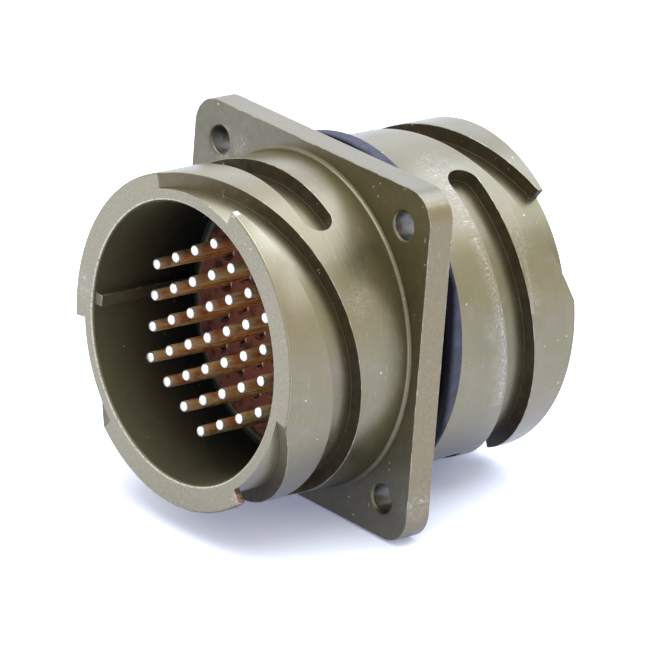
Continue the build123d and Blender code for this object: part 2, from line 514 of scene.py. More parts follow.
band_mask = math_node(band, "SUBTRACT", band_noise, band_limit)
band_mask = math_node(band, "MULTIPLY", band_mask, 12.0, clamp=True)
band.links.new(times(band, band_mask, band_zone), band_out["Mask"])
band_haze = times(band, stepped(band, band_noise, 0.36, 0.60), band_near, band_zone)
band.links.new(band_haze, band_out["Haze"])
print("group:", band.name)

# %% [markdown]
# The shell is turned and milled from aluminium, plated, and passivated to a satin olive.
# The colour comes from the thin passive film, so it is a metal with a tinted reflection:
# where one wall mirrors another the olive deepens to brown, as it does on the real part.
# The film varies from greenish to pinkish, and a soft coat gives it its sheen.

# %% Material: olive shell
def start_material(name):
    made = bpy.data.materials.new(name)
    made.use_nodes = True
    return made, made.node_tree, made.node_tree.nodes["Principled BSDF"].inputs


olive, tree, olive_inputs = start_material("olive_shell")
olive_inputs["Coat Roughness"].default_value = 0.29
olive_inputs["Coat IOR"].default_value = 1.80
film_large = cloud(tree, 14.0, 3.0)
film_small = cloud(tree, 3.0, 8.0)
film_turned = use_group(tree, marks, Pitch_mm=0.35)["Value"]
green_share = stepped(tree, film_large, 0.42, 0.62)
colour = mix_colour(tree, green_share, srgb(138, 126, 86), srgb(126, 119, 76))
warm_share = times(tree, stepped(tree, film_small, 0.50, 0.72), 0.60)
colour = mix_colour(tree, warm_share, colour, srgb(153, 131, 114))
turned_share = times(tree, stepped(tree, film_turned, 0.50, 0.78), 0.24)
colour = mix_colour(tree, turned_share, colour, srgb(170, 162, 134))
print("material:", olive.name)

# %% [markdown]
# Dirt and wear each keep to their own surfaces, so these are told apart first, by their
# distance from the main axis, their place along it and the way they face. A wall is found
# by its normal, which doesn't point away from the main axis.

# %% Where the shell's surfaces are
GROOVE_FROM = 20.6 * MM
SKIN_FROM = 23.42 * MM
SKIN_TO = 23.54 * MM
FRONT_RIM = -24.9 * MM
REAR_RIM = 25.9 * MM

shell_place = object_place(tree)
shell_x, shell_y, shell_z = split(tree, shell_place)
facing_x, facing_y, facing_z = facing(tree)
shell_radius = distance(tree, shell_x, shell_z)
outward = math_node(tree, "MULTIPLY", facing_x, shell_x)
outward = math_node(tree, "MULTIPLY_ADD", facing_z, shell_z, outward)
outward = math_node(tree, "ABSOLUTE", math_node(tree, "DIVIDE", outward, shell_radius))
on_wall = opposite(tree, stepped(tree, outward, 0.55, 0.92))
lengthwise = math_node(tree, "ABSOLUTE", facing_y)
faces_ends = math_node(tree, "GREATER_THAN", lengthwise, 0.7)
past_front = math_node(tree, "LESS_THAN", shell_y, FRONT_RIM)
past_rear = math_node(tree, "GREATER_THAN", shell_y, REAR_RIM)
on_rim = times(tree, math_node(tree, "MAXIMUM", past_front, past_rear), faces_ends)
in_groove = between(tree, shell_radius, GROOVE_FROM, SKIN_FROM)
in_groove = times(tree, in_groove, opposite(tree, on_rim))
groove_wall = times(tree, in_groove, on_wall)
groove_bed = math_node(tree, "SUBTRACT", in_groove, groove_wall)
barrel_skin = between(tree, shell_radius, SKIN_FROM, SKIN_TO)
print("a groove lies", round(GROOVE_FROM / MM, 2), "to", round(SKIN_FROM / MM, 2), "mm out")

# %% [markdown]
# Dirt and shade sit on the side walls of the grooves, and both are painted here: a dull
# brown over the metal, in clouds and along the turning marks, and thinner near the front
# rim. Where this brown lies, the surface is less of a metal, and its coat is gone: the
# mask named dull collects where that is so, here and in the steps after this one.

# %% Dirt and painted shade on the groove walls
less_near_front_rim = stepped(tree, shell_y, -24.5 * MM, -18.0 * MM)
less_near_front_rim = math_node(tree, "MULTIPLY_ADD", less_near_front_rim, 0.45, 0.55)
wall_dirt_and_painted_shade = stepped(tree, cloud(tree, 1.3, 1.0), 0.36, 0.64)
wall_dirt_and_painted_shade = math_node(tree, "MULTIPLY_ADD", wall_dirt_and_painted_shade, 0.18, 0.60)
wall_dirt_and_painted_shade = math_node(tree, "MULTIPLY_ADD", film_turned, 0.25, wall_dirt_and_painted_shade)
wall_dirt_and_painted_shade = math_node(tree, "MULTIPLY", wall_dirt_and_painted_shade, groove_wall, clamp=True)
wall_dirt_and_painted_shade = times(tree, wall_dirt_and_painted_shade, less_near_front_rim)
tree.links.new(math_node(tree, "MULTIPLY_ADD", wall_dirt_and_painted_shade, -0.5, 1.0), olive_inputs["Metallic"])
colour = mix_colour(tree, wall_dirt_and_painted_shade, colour, srgb(65, 54, 40))
dull = times(tree, groove_wall, 0.90, less_near_front_rim)
print("nodes so far:", len(tree.nodes))

# %% [markdown]
# The bed of each groove is a little greener than the skin, and pale at its entry, a painted
# highlight. The inner corners are dark, a painted shade: the bevel's faces that fold
# inwards carry a mark of their own.

# %% Beds and corners of the grooves
colour = mix_colour(tree, times(tree, groove_bed, 0.22), colour, srgb(106, 100, 58))
pale_entry_painted_light = opposite(tree, stepped(tree, shell_y, -21.5 * MM, -16.5 * MM))
pale_entry_painted_light = times(tree, pale_entry_painted_light, groove_bed, 0.60)
colour = mix_colour(tree, pale_entry_painted_light, colour, srgb(198, 191, 156))
crease_painted_shade = times(tree, face_mark(tree, "crease"), 0.75)
colour = mix_colour(tree, crease_painted_shade, colour, srgb(84, 78, 54))
dull = math_node(tree, "MAXIMUM", dull, times(tree, groove_bed, 0.12))
dull = math_node(tree, "MAXIMUM", dull, crease_painted_shade)
print("nodes so far:", len(tree.nodes))

# %% [markdown]
# The four mounting holes are grey and patchy inside, and a brown stain spreads round
# them on the flange. One distance does for all four, because the holes lie alike on both
# sides of both axes: the place is folded over by taking its absolute value.

# %% Mounting holes
HOLE_PLACE = 19.835 * MM
HOLE_REACH = 2.3 * MM

hole_x, hole_z = (
    math_node(tree, "SUBTRACT", math_node(tree, "ABSOLUTE", part), HOLE_PLACE)
    for part in (shell_x, shell_z)
)
hole_away = distance(tree, hole_x, hole_z)
in_hole = math_node(tree, "LESS_THAN", hole_away, HOLE_REACH)
in_hole = times(tree, in_hole, opposite(tree, stepped(tree, lengthwise, 0.15, 0.85)))
hole_share = stepped(tree, cloud(tree, 2.4, 7.0), 0.40, 0.60)
hole_colour = mix_colour(tree, hole_share, srgb(74, 74, 68), srgb(150, 149, 150))
colour = mix_colour(tree, times(tree, in_hole, 0.85), colour, hole_colour)
stain_share = opposite(tree, stepped(tree, hole_away, 2.2 * MM, 4.2 * MM))
stain_share = times(tree, stain_share, stepped(tree, film_small, 0.42, 0.66), faces_ends, 0.5)
colour = mix_colour(tree, stain_share, colour, srgb(98, 74, 56))
dull = math_node(tree, "MAXIMUM", dull, times(tree, in_hole, 0.8))
print("holes lie", round(HOLE_PLACE / MM, 3), "mm from both axes")

# %% [markdown]
# The bore is dull from end to end, and its colour darkens with depth down to a bluish
# black at the insert, a painted shade. Its depth is counted from the middle of the shell,
# so both mouths look alike.

# %% The bore
BORE_MIDDLE = 0.5 * MM

inside_bore = opposite(tree, stepped(tree, shell_radius, 19.62 * MM, 19.75 * MM))
near_mouth = math_node(tree, "ABSOLUTE", math_node(tree, "SUBTRACT", shell_y, BORE_MIDDLE))
near_mouth = stepped(tree, near_mouth, 9.0 * MM, 24.5 * MM)
bore_colour_with_painted_shade = mix_colour(tree, near_mouth, srgb(40, 60, 66), srgb(134, 132, 106))
colour = mix_colour(tree, times(tree, inside_bore, 0.92), colour, bore_colour_with_painted_shade)
dull = math_node(tree, "MAXIMUM", dull, inside_bore)
print("nodes so far:", len(tree.nodes))

# %% [markdown]
# The two faces of the flange look browner and darker than the barrels, with fine clouds:
# partly their own tone and partly painted shade. The small flare at the barrel's root takes
# the full tone, a painted shade that keeps its highlight narrow, and the lower part of
# each face is darker still, a painted shade as well.

# %% Faces of the flange
FLANGE_FROM = 23.52 * MM
FLARE_TO = 23.82 * MM

flange_face = math_node(tree, "GREATER_THAN", shell_radius, FLANGE_FROM)
flange_face = times(tree, flange_face, stepped(tree, lengthwise, 0.3, 0.8))
on_flare = times(tree, flange_face, math_node(tree, "LESS_THAN", shell_radius, FLARE_TO))
flange_face = math_node(tree, "MAXIMUM", times(tree, flange_face, 0.65), on_flare)
flange_share = stepped(tree, cloud(tree, 1.1, 14.0), 0.36, 0.64)
flange_tone_and_painted_shade = mix_colour(tree, flange_share, srgb(92, 84, 55), srgb(106, 99, 70))
colour = mix_colour(tree, flange_face, colour, flange_tone_and_painted_shade)
flange_low_painted_shade = opposite(tree, stepped(tree, shell_z, -22.0 * MM, -12.0 * MM))
flange_low_painted_shade = times(tree, flange_low_painted_shade, flange_face, 0.45)
colour = mix_colour(tree, flange_low_painted_shade, colour, srgb(60, 62, 46))
dull = math_node(tree, "MAXIMUM", dull, times(tree, flange_face, 0.35))
print("the flare ends", round(FLARE_TO / MM, 2), "mm out")

# %% [markdown]
# Two painted shades lie on the barrels: the front one is darker at its root, close to the
# flange, and the rear one is a little greyer and darker on top, which tones its highlight
# down. Both are kept to the outer skin.

# %% Painted shade at the root and on top
FLANGE_FRONT = -4.0 * MM

root_painted_shade = times(tree, stepped(tree, shell_y, -9.5 * MM, -5.0 * MM), barrel_skin)
root_painted_shade = times(tree, root_painted_shade, math_node(tree, "LESS_THAN", shell_y, FLANGE_FRONT), 0.48)
colour = mix_colour(tree, root_painted_shade, colour, srgb(84, 78, 44))
dull = math_node(tree, "MAXIMUM", dull, root_painted_shade)
grey_top_painted_shade = times(tree, stepped(tree, facing_z, 0.55, 0.98), barrel_skin)
grey_top_painted_shade = times(tree, grey_top_painted_shade, math_node(tree, "GREATER_THAN", shell_y, 0.0), 0.35)
colour = mix_colour(tree, grey_top_painted_shade, colour, srgb(112, 112, 92))
print("nodes so far:", len(tree.nodes))

# %% [markdown]
# Now all places without a sheen are known, apart from the small chamfer at each mouth of
# the bore. It is found by its radius and by being at the very end of the bore, and then
# the coat is taken off wherever the shell is dull.

# %% Where the sheen is gone
MOUTH_FROM = 19.62 * MM
MOUTH_TO = 20.03 * MM

mouth_edge = between(tree, shell_radius, MOUTH_FROM, MOUTH_TO)
mouth_edge = times(tree, mouth_edge, math_node(tree, "GREATER_THAN", near_mouth, 0.995))
dull = math_node(tree, "MAXIMUM", dull, mouth_edge)
tree.links.new(opposite(tree, dull), olive_inputs["Coat Weight"])
print("the chamfer reaches", round((MOUTH_TO - MOUTH_FROM) / MM, 2), "mm out")

# %% [markdown]
# Wear does the opposite of dirt: it brightens what stands out. The bevelled edges lose
# their olive first, and the end faces of the barrels are rubbed to a sandy grain with
# bright specks. The marked faces and the rim mask say where each of them goes.

# %% Worn edges and rims
rubbed = use_group(tree, wear, Amount=0.50, Patch_mm=1.6)["Mask"]
rubbed_share = math_node(tree, "MULTIPLY_ADD", face_mark(tree, "edge"), 0.22, rubbed)
rubbed_share = math_node(tree, "MULTIPLY", rubbed_share, 0.65, clamp=True)
colour = mix_colour(tree, rubbed_share, colour, srgb(206, 201, 184))
rim_cloud = cloud(tree, 0.32, 6.0)
rim_share = times(tree, stepped(tree, rim_cloud, 0.38, 0.62), on_rim)
colour = mix_colour(tree, times(tree, on_rim, 0.8), colour, srgb(150, 138, 104))
colour = mix_colour(tree, times(tree, rim_share, 0.45), colour, srgb(186, 176, 144))
rim_specks = use_group(tree, specks, Spacing_mm=0.55, Radius=0.16, Share=0.30)["Mask"]
colour = mix_colour(tree, times(tree, rim_specks, on_rim), colour, srgb(226, 222, 206))
print("nodes so far:", len(tree.nodes))

# %% [markdown]
# The chamfer at each mouth shows as a thin bright line, broken in places. Its inner part
# stays olive, and only the part next to the end face is rubbed bare.

# %% Bright line at the mouths
MOUTH_LINE_FROM = 19.84 * MM

colour = mix_colour(tree, times(tree, mouth_edge, 0.9), colour, srgb(132, 126, 106))
mouth_line = math_node(tree, "GREATER_THAN", shell_radius, MOUTH_LINE_FROM)
mouth_line = times(tree, mouth_edge, mouth_line)
mouth_worn = times(tree, stepped(tree, rim_cloud, 0.26, 0.54), mouth_line)
colour = mix_colour(tree, mouth_worn, colour, srgb(232, 226, 208))
print("the bright line is", round((MOUTH_TO - MOUTH_LINE_FROM) / MM, 2), "mm wide")

# %% [markdown]
# The four narrow sides of the flange have tones of their own: the left and right ones are
# warmer, the top and bottom ones greyer and darker, a painted shade, and the rounded corners
# paler, a painted highlight. Everything out there that doesn't face along the axis is such
# a side, apart from the mounting holes.

# %% Sides of the flange
SIDE_FROM = 25.3 * MM

side_wall = math_node(tree, "GREATER_THAN", shell_radius, SIDE_FROM)
side_wall = times(tree, side_wall, math_node(tree, "LESS_THAN", lengthwise, 0.5))
faces_side = stepped(tree, math_node(tree, "ABSOLUTE", facing_x), 0.3, 0.9)
warm_side = times(tree, side_wall, faces_side, 0.75, opposite(tree, in_hole))
colour = mix_colour(tree, warm_side, colour, srgb(136, 117, 70))
faces_up = times(tree, side_wall, opposite(tree, faces_side))
colour = mix_colour(tree, times(tree, faces_up, 0.5), colour, srgb(104, 101, 86))
on_corner = times(tree, faces_up, faces_side)
colour = mix_colour(tree, times(tree, on_corner, 1.3), colour, srgb(158, 147, 128))
side_grain = times(tree, stepped(tree, rim_cloud, 0.44, 0.66), side_wall, 0.13)
colour = mix_colour(tree, side_grain, colour, srgb(196, 187, 168))
print("nodes so far:", len(tree.nodes))

# %% [markdown]
# A pale streak lies on the front barrel beside the tip of the ridge, a painted highlight.
# Two soft round spots on the skin make it, each with its own place, reach and strength.

# %% Painted highlight beside the front rim
# place X, Y and Z and reach in millimetres, then strength
HIGHLIGHT_STREAK_SPOTS = [
    (13.6, -21.9, 19.2, 4.8, 0.29),
    (19.4, -21.2, 13.3, 4.6, 0.30),
]
for x, y, z, reach, amount in HIGHLIGHT_STREAK_SPOTS:
    streak_away = add_node(tree, "ShaderNodeVectorMath", operation="DISTANCE")
    streak_away.inputs[1].default_value = Vector((x, y, z)) * MM
    tree.links.new(shell_place, streak_away.inputs[0])
    streak = opposite(tree, stepped(tree, streak_away.outputs["Value"], 0.0, reach * MM))
    streak = times(tree, streak, barrel_skin, amount)
    colour = mix_colour(tree, streak, colour, srgb(226, 217, 188))
print("the streak has", len(HIGHLIGHT_STREAK_SPOTS), "spots")

# %% [markdown]
# Dust and fine scratches lie all over the shell. They are thin: most of the olive still
# shows, and the scratches let it through.

# %% Dust and fine scratches
dust = use_group(tree, specks, Spacing_mm=1.3, Radius=0.10, Share=0.22)["Mask"]
colour = mix_colour(tree, dust, colour, srgb(226, 222, 210))
scored = use_group(tree, scratches, Width_mm=0.12, Amount=0.16)["Mask"]
colour = mix_colour(tree, times(tree, scored, 0.6), colour, srgb(215, 211, 198))
print("nodes so far:", len(tree.nodes))

# %% [markdown]
# The knocks are set one by one where the real part has them: on the rear barrel, by
# the front rim and on the flange. A list keeps them readable, and the strongest mark
# wins where two of them meet.

# %% Knocks
# place X, Y and Z and reach in millimetres, then strength
KNOCKS = [
    (8.4, 11.8, 21.9, 5.6, 0.26),
    (13.0, 10.6, 19.5, 4.8, 0.27),
    (16.0, 11.4, 17.2, 3.4, 0.27),
    (19.0, 17.2, 13.6, 4.0, 0.24),
    (22.6, 17.6, 6.2, 3.0, 0.25),
    (23.2, 11.4, 3.4, 2.8, 0.25),
    (23.0, 13.2, -2.6, 3.0, 0.25),
    (22.5, 13.8, -6.0, 2.6, 0.25),
    (21.7, -12.5, -9.1, 2.2, 0.29),
    (20.8, -11.7, 10.6, 3.2, 0.24),
    (-15.3, -4.1, 20.3, 2.4, 0.27),
    (-18.6, -4.1, 17.8, 2.0, 0.27),
    (-18.5, -4.1, 21.5, 1.4, 0.30),
    (25.4, -2.0, -19.5, 3.8, 0.26),
    (-22.1, -25.0, 1.3, 3.2, 0.26),
    (9.0, -24.6, 21.7, 1.0, 0.60),
]
KNOCK_HAZE = 0.5

knock_share = 0.0
haze_share = 0.0
for x, y, z, reach, amount in KNOCKS:
    knock = use_group(tree, patch, X_mm=x, Y_mm=y, Z_mm=z, Reach_mm=reach, Amount=amount)
    knock_share = math_node(tree, "MAXIMUM", knock_share, knock["Mask"])
    haze_share = math_node(tree, "MAXIMUM", haze_share, knock["Haze"])
haze_share = times(tree, haze_share, KNOCK_HAZE)
print("knocks:", len(KNOCKS))

# %% [markdown]
# Two rubbed lines join the knocks on the rear barrel. The walls of the grooves lie deeper
# than either can reach, so they are left out, and the haze is laid on here.

# %% Rubbed lines on the rear barrel
# place along Y, lean, width, lowest and highest Z, strength
RUBBED_LINES = [
    (12.95, -0.15, 1.7, -9.0, 15.0, 0.39),
    (18.0, 0.0, 0.5, 4.0, 13.0, 0.32),
]
for y, rise, wide, low, high, amount in RUBBED_LINES:
    line = use_group(
        tree, band, Y_mm=y, Rise=rise, Wide_mm=wide, Low_Z_mm=low, High_Z_mm=high, Amount=amount
    )
    knock_share = math_node(tree, "MAXIMUM", knock_share, line["Mask"])
    haze_share = math_node(tree, "MAXIMUM", haze_share, line["Haze"])
off_walls = opposite(tree, groove_wall)
knock_share = times(tree, knock_share, off_walls)
haze_share = times(tree, haze_share, off_walls)
colour = mix_colour(tree, times(tree, haze_share, 0.40), colour, srgb(204, 199, 184))
print("rubbed lines:", len(RUBBED_LINES))

# %% [markdown]
# Two thinner lines follow the long edges of the flange's right side, and one reddish chip
# sits at the front rim, low on the right. With them the colour is complete.

# %% Flange edges and the red chip
# place along Y, lowest and highest Z, in millimetres
FLANGE_LINES = [(-3.98, -22.0, 22.0), (-0.12, -4.0, 23.0)]

for y, low, high in FLANGE_LINES:
    line = use_group(tree, band, Y_mm=y, Wide_mm=0.36, Low_Z_mm=low, High_Z_mm=high, Amount=0.43)
    knock_share = math_node(tree, "MAXIMUM", knock_share, times(tree, line["Mask"], side_wall))
colour = mix_colour(tree, times(tree, knock_share, 0.56), colour, srgb(236, 230, 222))
red_chip = use_group(tree, patch, X_mm=14.2, Y_mm=-24.8, Z_mm=-17.8, Reach_mm=1.6, Amount=0.44)
colour = mix_colour(tree, times(tree, red_chip["Mask"], 0.72), colour, srgb(234, 176, 166))
tree.links.new(colour, olive_inputs["Base Color"])
print("flange lines:", len(FLANGE_LINES))

# %% [markdown]
# The film is satin, with clouds of more and less gloss. The dull places, knocks, the sandy
# rims and the part of the front barrel near the flange are rougher, so each of their masks
# adds a little roughness.

# %% Gloss of the shell
gloss = math_node(tree, "MULTIPLY_ADD", cloud(tree, 1.5, 5.0), 0.16, 0.24)
gloss = math_node(tree, "MULTIPLY_ADD", dull, 0.24, gloss)
gloss = math_node(tree, "MULTIPLY_ADD", knock_share, 0.25, gloss)
near_flange = stepped(tree, shell_y, -11.0 * MM, -6.0 * MM)
near_flange = times(tree, near_flange, math_node(tree, "LESS_THAN", shell_y, 0.0))
gloss = math_node(tree, "MULTIPLY_ADD", near_flange, 0.05, gloss)
gloss = math_node(tree, "MULTIPLY_ADD", rim_share, 0.15, gloss, clamp=True)
tree.links.new(gloss, olive_inputs["Roughness"])
print("nodes so far:", len(tree.nodes))

# %% [markdown]
# The last layer is relief too fine to model: the grain of the film, the turning marks,
# and scratches and knocks that lie a little below the surface. A bump node turns the
# summed heights into leaning normals.

# %% Grain of the shell
def add_bump(tree, shader_inputs, height, strength, depth):
    made = add_node(tree, "ShaderNodeBump")
    made.inputs["Strength"].default_value = strength
    made.inputs["Distance"].default_value = depth
    tree.links.new(height, made.inputs["Height"])
    tree.links.new(made.outputs[0], shader_inputs["Normal"])


grain = add_noise(tree, shell_place, 5200.0, 2.0)
relief = math_node(tree, "MULTIPLY_ADD", film_turned, 0.25, grain)
relief = math_node(tree, "MULTIPLY_ADD", scored, -0.6, relief)
relief = math_node(tree, "MULTIPLY_ADD", knock_share, -1.2, relief)
relief = math_node(tree, "MULTIPLY_ADD", rim_share, 0.8, relief)
add_bump(tree, olive_inputs, relief, 0.14, 0.04 * MM)
print(olive.name, "has", len(tree.nodes), "nodes")

# %% [markdown]
# The insert that holds the contacts is a glossy reddish-brown resin with a few smudges.
# The countersinks round the contacts are darker, a painted shade, and a few faces in them
# are marked to show as a glint, because the real glints are smaller than the light here
# could make.

# %% Material: brown resin
resin, tree, resin_inputs = start_material("brown_resin")
smudge_share = stepped(tree, cloud(tree, 2.2, 2.0), 0.48, 0.66)
colour = mix_colour(tree, smudge_share, srgb(156, 96, 86), srgb(96, 54, 50))
fleck = use_group(tree, specks, Spacing_mm=0.7, Radius=0.14, Share=0.2)["Mask"]
colour = mix_colour(tree, times(tree, fleck, 0.5), colour, srgb(168, 120, 100))
countersink_painted_shade = times(tree, face_mark(tree, "edge"), 0.8)
colour = mix_colour(tree, countersink_painted_shade, colour, srgb(66, 32, 34))
colour = mix_colour(tree, face_mark(tree, "glint"), colour, srgb(255, 244, 238))
tree.links.new(colour, resin_inputs["Base Color"])
resin_gloss = cloud(tree, 0.9, 4.0)
resin_rough = math_node(tree, "MULTIPLY_ADD", resin_gloss, 0.22, 0.06)
tree.links.new(resin_rough, resin_inputs["Roughness"])
add_bump(tree, resin_inputs, resin_gloss, 0.15, 0.05 * MM)
print("material:", resin.name)

# %% [markdown]
# The contacts are copper alloy, plated with gold. The plating is thinner in places, where
# the copper shows. The upper side of each pin is painted darker, a painted shade, and its
# lower side paler, a painted reflection, so the colour also follows the direction in which
# the surface faces.

# %% Material: contact gold
gold, tree, gold_inputs = start_material("contact_gold")
gold_place = object_place(tree)
thin = add_noise(tree, remapped(tree, gold_place, NO_TURN, (1.0, 0.20, 1.0)), 1000.0, 1.0)
thin_share = stepped(tree, thin, 0.30, 0.68)
colour = mix_colour(tree, thin_share, srgb(255, 230, 158), srgb(220, 144, 88))
gold_facing_up = facing(tree)[2]
upper_painted_shade = times(tree, stepped(tree, gold_facing_up, -0.45, 0.55), 0.22)
colour = mix_colour(tree, upper_painted_shade, colour, srgb(158, 88, 60))
lower_painted_reflection = opposite(tree, stepped(tree, gold_facing_up, -0.85, -0.35))
colour = mix_colour(tree, times(tree, lower_painted_reflection, 0.7), colour, srgb(255, 236, 176))
tarnish = add_noise(tree, gold_place, 780.0, 2.0)
tarnish_share = times(tree, stepped(tree, tarnish, 0.50, 0.66), 0.45)
colour = mix_colour(tree, tarnish_share, colour, srgb(124, 68, 46))
gold_rough = math_node(tree, "MULTIPLY_ADD", thin, 0.22, 0.16)
tree.links.new(gold_rough, gold_inputs["Roughness"])
print("material:", gold.name)

# %% [markdown]
# The rounded tips are painted pale, a painted highlight. The pale colour fades in over the
# last millimetres and is full on the tip itself, which is also fully a metal. The same is
# done at the rear end.

# %% Painted highlights on the contact tips
gold_y = split(tree, gold_place)[1]
front_fade = opposite(tree, stepped(tree, gold_y, -20.4 * MM, -18.8 * MM))
rear_fade = stepped(tree, gold_y, 19.8 * MM, 21.4 * MM)
tip_fade_painted_highlight = times(tree, math_node(tree, "MAXIMUM", front_fade, rear_fade), 0.45)
colour = mix_colour(tree, tip_fade_painted_highlight, colour, srgb(246, 238, 220))
front_tip = opposite(tree, stepped(tree, gold_y, -20.45 * MM, -20.1 * MM))
rear_tip = stepped(tree, gold_y, 21.1 * MM, 21.45 * MM)
painted_tip_highlight = math_node(tree, "MAXIMUM", front_tip, rear_tip)
colour = mix_colour(tree, painted_tip_highlight, colour, srgb(255, 254, 250))
tree.links.new(colour, gold_inputs["Base Color"])
gold_metal = math_node(tree, "MULTIPLY_ADD", painted_tip_highlight, 0.45, 0.55)
tree.links.new(gold_metal, gold_inputs["Metallic"])
print(gold.name, "has", len(tree.nodes), "nodes")

# %% [markdown]
# The gasket behind the flange is a slate-blue rubber, dull, with a fine mottle and some
# dust. It is painted paler towards the top than at the sides, a painted shade on the sides.

# %% Material: slate rubber
slate, tree, slate_inputs = start_material("slate_rubber")
slate_inputs["Specular IOR Level"].default_value = 0.06
bloom_share = stepped(tree, cloud(tree, 1.8, 9.0), 0.40, 0.65)
colour = mix_colour(tree, bloom_share, srgb(98, 98, 112), srgb(113, 112, 128))
rubber_dust = use_group(tree, specks, Spacing_mm=0.8, Radius=0.10, Share=0.25)["Mask"]
colour = mix_colour(tree, times(tree, rubber_dust, 0.3), colour, srgb(150, 150, 172))
slate_x, slate_y, slate_z = split(tree, object_place(tree))
lit_from_above = stepped(tree, slate_z, 10.0 * MM, 21.0 * MM)
away_from_light = math_node(tree, "MULTIPLY_ADD", lit_from_above, -0.32, 0.32)
colour = mix_colour(tree, away_from_light, colour, srgb(66, 67, 80))
rubber_grain = cloud(tree, 0.25, 2.0)
rubber_rough = math_node(tree, "MULTIPLY_ADD", rubber_grain, 0.15, 0.45)
tree.links.new(rubber_rough, slate_inputs["Roughness"])
add_bump(tree, slate_inputs, rubber_grain, 0.25, 0.04 * MM)
print("material:", slate.name)

# %% [markdown]
# Next to the flange the gasket is almost black, a painted shadow of the flange. The square
# flange stands out over it, more so towards its corners, so the dark band follows the
# flange's sides and not the gasket's round, and it is narrower near the top. The band's
# width is worked out from how far the flange reaches past each point.

# %% Painted shadow on the gasket
FLANGE_HALF = 25.4 * MM
WIDEST_SHADE = 3.8 * MM

slate_aside = math_node(
    tree, "MAXIMUM", math_node(tree, "ABSOLUTE", slate_x), math_node(tree, "ABSOLUTE", slate_z)
)
under_flange = math_node(tree, "SUBTRACT", FLANGE_HALF, slate_aside)
shade_reach = math_node(tree, "MULTIPLY_ADD", under_flange, 0.62, 2.1 * MM)
shade_reach = math_node(tree, "MINIMUM", shade_reach, WIDEST_SHADE)
shade_reach = math_node(tree, "MULTIPLY_ADD", lit_from_above, -0.65 * MM, shade_reach)
past_shade = math_node(tree, "SUBTRACT", slate_y, shade_reach)
painted_flange_shadow = opposite(tree, stepped(tree, past_shade, -0.7 * MM, 0.6 * MM))
colour = mix_colour(tree, painted_flange_shadow, colour, srgb(10, 9, 16))
tree.links.new(colour, slate_inputs["Base Color"])
print(slate.name, "has", len(tree.nodes), "nodes")

# %% [markdown]
# The thin seal inside the shell can't be seen from outside. It gets a plain dark rubber
# with a soft mottle, so that it looks right if the connector is ever taken apart.

# %% Material: seal rubber
sealing, tree, sealing_inputs = start_material("seal_rubber")
seal_cloud = cloud(tree, 1.0, 11.0)
seal_share = stepped(tree, seal_cloud, 0.4, 0.65)
colour = mix_colour(tree, seal_share, srgb(46, 54, 54), srgb(66, 74, 72))
tree.links.new(colour, sealing_inputs["Base Color"])
seal_rough = math_node(tree, "MULTIPLY_ADD", seal_cloud, 0.2, 0.45)
tree.links.new(seal_rough, sealing_inputs["Roughness"])
print("material:", sealing.name)

# %% [markdown]
# The two snap rings that hold the insert are spring steel with a dull grey-green film.
# Only the inner half of a ring shows as a thin pale line, and the outer half, next to the
# shell, is dark, a painted shade. The distance from the axis tells them apart.

# %% Material: ring steel
steel, tree, steel_inputs = start_material("ring_steel")
steel_inputs["Metallic"].default_value = 0.35
film_share = stepped(tree, cloud(tree, 1.2, 12.0), 0.4, 0.65)
colour = mix_colour(tree, film_share, srgb(132, 134, 114), srgb(158, 160, 140))
steel_axes = split(tree, object_place(tree))
steel_radius = distance(tree, steel_axes[0], steel_axes[2])
outer_painted_shade = stepped(tree, steel_radius, 18.75 * MM, 19.15 * MM)
colour = mix_colour(tree, times(tree, outer_painted_shade, 0.85), colour, srgb(56, 58, 50))
tree.links.new(colour, steel_inputs["Base Color"])
steel_marks = use_group(tree, marks, Pitch_mm=0.15)["Value"]
steel_rough = math_node(tree, "MULTIPLY_ADD", steel_marks, 0.25, 0.22)
tree.links.new(steel_rough, steel_inputs["Roughness"])
print("material:", steel.name)

# %% [markdown]
# A CAD mesh is loose flat triangles. A copy of it is merged, its flat faces are joined up,
# and its sharp edges get a tiny bevel, because no real edge is perfectly sharp and it is
# the bevel that catches the light. The bevel's faces are marked, for wear where they
# stand out and for painted shade where they fold inwards.

# %% Bevelled copy of a CAD node
SHARP_ANGLE = math.radians(60)
MERGE_DISTANCE = 0.002 * MM
FLAT_ANGLE = math.radians(0.3)


def any_sharp_edge(edge):
    return edge.calc_face_angle(0) > SHARP_ANGLE


def folds_in(face, bevel_faces):
    others = [f for edge in face.edges for f in edge.link_faces if f not in bevel_faces]
    middle = face.calc_center_median()
    return sum(face.normal.dot(other.calc_center_median() - middle) for other in others) > 0


def bevelled_copy(node_name, width, chosen=any_sharp_edge, segments=1):
    copy = bmesh.new()
    copy.from_mesh(nodes[node_name].data)
    bmesh.ops.remove_doubles(copy, verts=copy.verts, dist=MERGE_DISTANCE)
    bmesh.ops.dissolve_limit(
        copy, angle_limit=FLAT_ANGLE, verts=copy.verts, edges=copy.edges, delimit={"NORMAL"}
    )
    edge_layer = copy.faces.layers.float.new("edge")
    crease_layer = copy.faces.layers.float.new("crease")
    sharp = [e for e in copy.edges if chosen(e)]
    open_edges = [e for e in copy.edges if len(e.link_faces) != 2]
    made = bmesh.ops.bevel(
        copy,
        geom=sharp,
        offset=width,
        offset_type="OFFSET",
        affect="EDGES",
        segments=segments,
        profile=0.5,
        material=-1,
        clamp_overlap=False,
    )
    bevel_faces = set(made["faces"])
    for face in bevel_faces:
        face[crease_layer if folds_in(face, bevel_faces) else edge_layer] = 1.0
    print(node_name, "sharp", len(sharp), "open", len(open_edges), "faces", len(copy.faces))
    return copy


print("edges sharper than", round(math.degrees(SHARP_ANGLE)), "degrees get a bevel")

